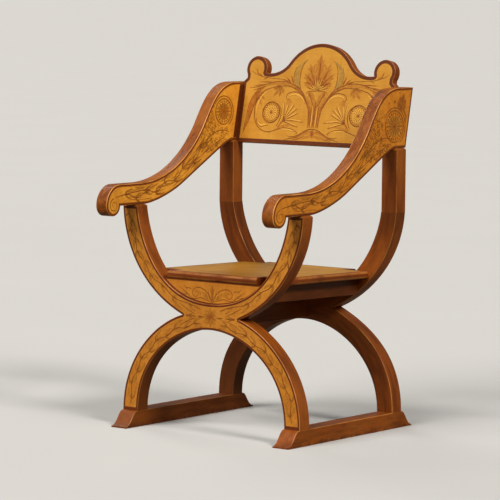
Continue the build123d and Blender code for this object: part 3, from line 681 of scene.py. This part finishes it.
for face, x, eye_y, eye_z, radius in (("outer", 0.2995, 221, 830, 44), ("inner", 0.2615, 186, 852, 37)):
    dark, pale, brown = roundel(eye_y, eye_z, radius, 14)
    stem, leaves = vine(((-262, 636), (-120, 624), (-20, 667), (118, 770)), 9, 7, 40)
    dark += stem + blades(rows, 44, 50, 1.1, 5)
    pale += leaves + blades(rows, 16, 46, 3.6, 6)
    brown += blades(rows, 16, 50, 2.2, 7)
    dark += [
        ring(-291, 612, 19, 1.2, 96, 500, 0.75),
        flow((-284, 634, 0.9), (-240, 641, 1.3), (-190, 646, 1.2), (-140, 650, 0.5)),
        flow((76, 752, 0.6), (110, 774, 1.1), (146, 794, 1.2), (182, 800, 1.0), (212, 794, 0.5)),
        flow((60, 718, 0.6), (104, 742, 1.1), (150, 764, 1.2), (192, 780, 0.7)),
        ring(eye_y, eye_z, radius + 7, 1.3, -60, 210),
    ]
    dice = random.Random(11)
    for _ in range(330):  # small curls, strewn round the roundel
        y, z = dice.uniform(84, 205), dice.uniform(738, 872)
        if math.hypot(y - eye_y, z - eye_z) > radius + 10:
            size, start, sweep = dice.uniform(2.5, 5.5), dice.uniform(0, 360), dice.uniform(150, 300)
            dark.append(ring(y, z, size, 0.55, start, sweep, 0.3))
    if face == "outer":
        brown += spray(250, 876, 70, 46, 21, 5, 25, 4)
        brown += [flow((272, 836, 0.8), (274, 856, 3.0), (262, 876, 3.0), (252, 888, 0.6)), disc(222, 897, 4.5),
                  disc(196, 893, 3.0)]
        dark += spray(250, 876, 70, 34, 1.6, 5, 25, 4)
    layers = (("outline", outlined(pale, 0.6), dark_ink), ("soft", pale, soft_wash), ("brown", brown, brown_wash),
              ("dark", dark, dark_ink))
    for side, sign in (("left", -1), ("right", 1)):
        board, out = "arm_" + side + "_" + face, sign if face == "outer" else -sign
        faced = [(tone, strokes if out > 0 else flipped(strokes), made) for tone, strokes, made in layers]
        drawn(board, "arm_veneer", board + "_veneer", (0, out, 0), (0, 0, 1), (sign * x, 0, 0), *faced)


# The back: a leaning walnut board with two round ears and a swept crest, dowelled between the arms and veneered in
# front inside a dark edge. Its drawing rises from a mound in the middle, as a fluted stem with two great scrolled
# branches, each round a roundel.
panel_front = (0, -0.981, 0.194)
pale_wash = ink("penwork_pale_wash", (0.700, 0.3700, 0.0560), (0.620, 0.3050, 0.0400))
grey_wash = ink("penwork_grey_wash", (0.320, 0.1720, 0.0330), (0.420, 0.2200, 0.0340))
panel_edge = ink("panel_edge_stain", (0.100, 0.0190, 0.0030), (0.125, 0.0260, 0.0038))
polished(["back_panel"], walnut("back_panel_walnut", 15.1, flat=panel_front, rub_and_sheen=0.15, edging=0.95))
polished(["back_panel_veneer"], satinwood("back_panel_satinwood", 8.3, (0.580, 0.280, 0.031), (0.470, 0.202, 0.0195),
                                          ripple=0.22, fleck=0.12))
stained_edge("back_panel_edge_stain", "back_panel_veneer", panel_front, panel_edge)
dark, pale, soft = roundel(150, 83, 30, 14)
soft += [  # the mound, the trunk, the branch and its tips, the lower branch, the leaves that hang in the scroll
    flow((4, 32, 4), (30, 27, 5), (56, 15, 3.5), (80, 13, 0.8)),
    flow((0, 22, 4), (26, 15, 3.5), (54, 9, 1.6), (70, 8, 0.5)),
    flow((8, 45, 7), (9, 75, 9), (14, 98, 10), (24, 116, 7), (34, 132, 1.5)),
    flow((3, 98, 3), (9, 118, 6), (17, 136, 7), (24, 146, 1.5)),
    flow((27, 106, 2), (41, 128, 4.5), (60, 147, 6), (84, 159, 5.2), (112, 165, 4), (150, 165, 3.4), (190, 157, 3),
         (226, 151, 0.6)),
    leaf(150, 168, 4, 58, 5, -10), leaf(166, 163, -4, 62, 5, -8), leaf(176, 157, -14, 52, 5, -6),
    leaf(184, 152, -26, 40, 5), flow((136, 30, 1), (118, 40, 3.4), (98, 46, 4.4), (76, 50, 3.4), (56, 43, 0.6)),
]
soft += spray(124, 157, -48, 40, 14, 5, 32) + spray(206, 141, -114, 46, 13, 5, 27)
soft += spray(96, 123, -112, 26, 8, 3, 30)
brown = [
    leaf(0, 39, 270, 25, 12), flow((14, 34, 0.8), (34, 27, 1.4), (56, 17, 1.2), (72, 12, 0.5)),
    flow((15, 50, 1.4), (15.5, 74, 2.5), (20, 97, 2.5), (30, 115, 1.5), (38, 127, 0.4)),
    flow((240, 24, 0.5), (232, 52, 3.2), (226, 84, 6.4), (219, 112, 7.4), (206, 137, 4.6), (188, 153, 0.6)),
    flow((122, 42, 0.8), (111, 55, 2.6), (101, 70, 0.5)),
    flow((34, 118, 0.4), (50, 139, 2.0), (70, 152, 2.2), (96, 160, 0.5)), leaf(27, 146, 262, 18, 7),
    leaf(84, 166, 62, 28, 5, 8), leaf(92, 167, 42, 26, 5), leaf(101, 170, 24, 24, 4.5, -8), leaf(196, 184, 30, 22, 4),
    leaf(212, 189, 66, 20, 4), leaf(176, 183, -26, 18, 3.5),
]
pale += [
    flow((7, 47, 1.4), (7.5, 76, 1.7), (8, 104, 0.5)),
    flow((36, 112, 0.5), (52, 130, 2.4), (72, 137, 2.6), (90, 134, 1.8), (97, 127, 0.5)),
    flow((128, 36, 0.5), (100, 38, 2.4), (76, 36, 2.4), (58, 31, 0.5)),
    flow((237, 40, 0.4), (233, 70, 1.8), (229, 98, 1.8), (219, 126, 0.5)),
    flow((202, 70, 0.4), (202, 100, 2.4), (190, 128, 2.2), (168, 146, 0.5)),
    flow((196, 58, 0.4), (184, 46, 3.2), (168, 48, 2.4), (158, 46, 0.4)),
]
grey = [flow((38, 128, 0.5), (56, 147, 2.6), (70, 168, 5.4), (77, 192, 6.8), (70, 214, 5.2), (50, 234, 0.6))]
dark += [
    flow((0, 40, 1.2), (10, 39.5, 1.2), (24, 35, 1.1), (42, 25, 1.0), (60, 18, 0.9), (74, 17, 0.7), (88, 19, 0.4)),
    flow((24, 22, 0.4), (46, 12, 0.7), (64, 9, 0.4)), flow((50, 15, 0.4), (78, 11, 0.8), (92, 8, 0.4)),
    flow((17, 44, 0.8), (18.5, 68, 0.9), (23, 96, 1.0), (31, 112, 0.8)),
    flow((11, 46, 0.5), (11, 76, 0.8), (13, 104, 0.5)), flow((6, 104, 0.4), (16, 122, 0.9), (24, 140, 0.4)),
    flow((30, 112, 0.8), (44, 136, 1.0), (64, 155, 1.2), (84, 164, 1.1), (110, 171, 1.0), (145, 171, 0.9),
         (185, 161, 0.8), (212, 154, 0.7), (236, 151, 0.4)),
    flow((26, 100, 0.7), (38, 123, 0.8), (56, 142, 0.9), (78, 153, 0.9), (99, 159, 0.9), (133, 158, 1), (157, 153, 1),
         (180, 145, 1.1), (199, 126, 1.1), (209, 104, 1.1), (209, 82, 1.1), (204, 60, 1.1), (191, 41, 1.1),
         (171, 29.5, 1.1), (149, 27.5, 1.1), (130, 33, 1.1), (105, 40, 1.1), (77, 39, 1.0), (60, 33, 0.9),
         (51, 28, 0.7), (57, 25, 0.4)),
    flow((150, 114, 0.6), (134, 109, 0.9), (119, 96, 1.0), (115, 80, 1.0), (118, 62, 1.0), (127, 44, 0.7)),
    flow((200, 66, 0.4), (196, 54, 0.9), (182, 42, 0.9), (166, 45, 0.8), (156, 46, 0.4)),
    flow((30, 109, 0.6), (38, 121, 0.8), (50, 134, 1.0), (66, 143, 1.0), (85, 143, 1.0), (99, 138, 0.9),
         (103.5, 129, 0.8), (99, 121, 0.6), (92, 123, 0.4)),
    flow((241, 22, 0.4), (237, 55, 0.7), (234, 86, 0.8), (228, 114, 0.8), (212, 140, 0.7), (188, 155, 0.4)),
    flow((228, 50, 0.4), (219, 80, 0.6), (211, 108, 0.6), (198, 132, 0.4)),
    flow((36, 124, 0.5), (55, 146, 0.8), (63, 170, 0.9), (64, 198, 0.9), (58, 220, 0.7), (44, 236, 0.4)),
    flow((62, 148, 0.4), (80, 168, 0.5), (86, 192, 0.6), (79, 215, 0.4)),
    flow((104, 172, 0.4), (124, 178, 0.6), (160, 180, 0.6), (196, 184, 0.6), (222, 192, 0.6), (236, 200, 0.4)),
    flow((2, 147, 0.5), (16, 147.5, 0.8), (30, 146, 0.7), (37, 138, 0.4)), leaf(84, 166, 62, 26, 1.4, 8),
    leaf(92, 167, 42, 24, 1.4), leaf(101, 170, 24, 22, 1.4, -8), leaf(150, 168, 4, 54, 1.3, -10),
    leaf(166, 163, -4, 58, 1.3, -8), leaf(176, 157, -14, 48, 1.3, -6),
]
dark += spray(124, 157, -48, 36, 1.2, 5, 32) + spray(206, 141, -114, 42, 1.2, 5, 27)
for bend_x, bend_y, tip_x, tip_y in ((105, 82, 109, 112), (98, 82, 92, 104), (91, 81, 72, 106), (86, 77, 61, 96),
                                     (84, 70, 56, 83), (78, 62, 34, 58), (82, 53, 50, 44)):  # a fan of fronds
    swell = ((2 * tip_x + bend_x) / 3 + 3, (2 * tip_y + bend_y) / 3 + 3, 2.2)
    dark.append(flow((107, 59, 0.9), (bend_x, bend_y, 0.8), (tip_x, tip_y, 0.5)))
    pale.append(flow((106, 61, 0.5), (bend_x + 1, bend_y + 3, 1.5), swell, (tip_x + 5, tip_y + 4, 0.4)))
for heading, length in ((66, 76), (41, 62), (17, 48)):  # the lobes of the palmette on one side
    soft.append(leaf(4, 158, heading, length, 22, -4))
    for share in (0.35, 0.6):
        x = 4 + share * length * math.cos(math.radians(heading))
        y = 158 + share * length * math.sin(math.radians(heading))
        soft += [leaf(x, y, heading - 34, length * 0.34, 8), leaf(x, y, heading + 34, length * 0.34, 8)]
    brown.append(leaf(10, 164, heading, length * 0.66, 6.5, -4))
    dark.append(leaf(8, 162, heading, length * 0.8, 1.8, -4))
for heading in (12, 30, 47, 63, 78):  # the calyx under the palmette
    dark.append(leaf(1, 149, heading, 44, 1.5, 4))
    pale.append(leaf(1, 149, heading + 8, 36, 2.6, 4))
dark, pale, grey, brown, soft = (mirrored(strokes) for strokes in (dark, pale, grey, brown, soft))
soft += [leaf(0, 162, 90, 92, 30), leaf(0, 200, 58, 32, 9), leaf(0, 200, 122, 32, 9), leaf(0, 218, 55, 24, 7),
         leaf(0, 218, 125, 24, 7)]
brown += [flow((0, 46, 3.0), (0, 70, 3.4), (0, 98, 3.0), (0, 124, 0.6)), leaf(0, 172, 90, 60, 8)]
dark += [leaf(0, 38, 270, 20, 5), flow((0, 52, 0.9), (0, 74, 1.8), (0, 96, 1.5), (0, 116, 0.4)),
         leaf(0, 168, 90, 76, 2.2), leaf(0, 148, 90, 34, 1.6)]
drawn("back_panel", "panel_veneer", "back_panel_veneer", (1, 0, 0), (0, math.sin(panel_lean), math.cos(panel_lean)),
      (0, 0.245, 0.770), ("soft", soft, soft_wash), ("outline", outlined(pale, 0.7), brown_wash),
      ("pale", pale, pale_wash), ("grey", grey, grey_wash), ("brown", brown, brown_wash), ("dark", dark, dark_ink))


# The joints: turned beech dowels and square beech tenons, glued into holes in both of the pieces that they join, so
# that none of them shows.
beech, tree, shader = finish_of("joint_beech", 0.6)
lines = cloud_of(tree, vectors(tree, "MULTIPLY", placed(tree), (1, 1, 0.1)), 300.0, 3.0)
tree.links.new(tint(tree, lines, (0.42, 0.26, 0.13, 1), (0.56, 0.38, 0.21, 1)), shader.inputs["Base Color"])
polished(["foot_tenons", "crossing_dowels", "splice_dowels", "arm_dowels", "seat_dowels", "rail_dowels",
          "panel_dowels"], beech)
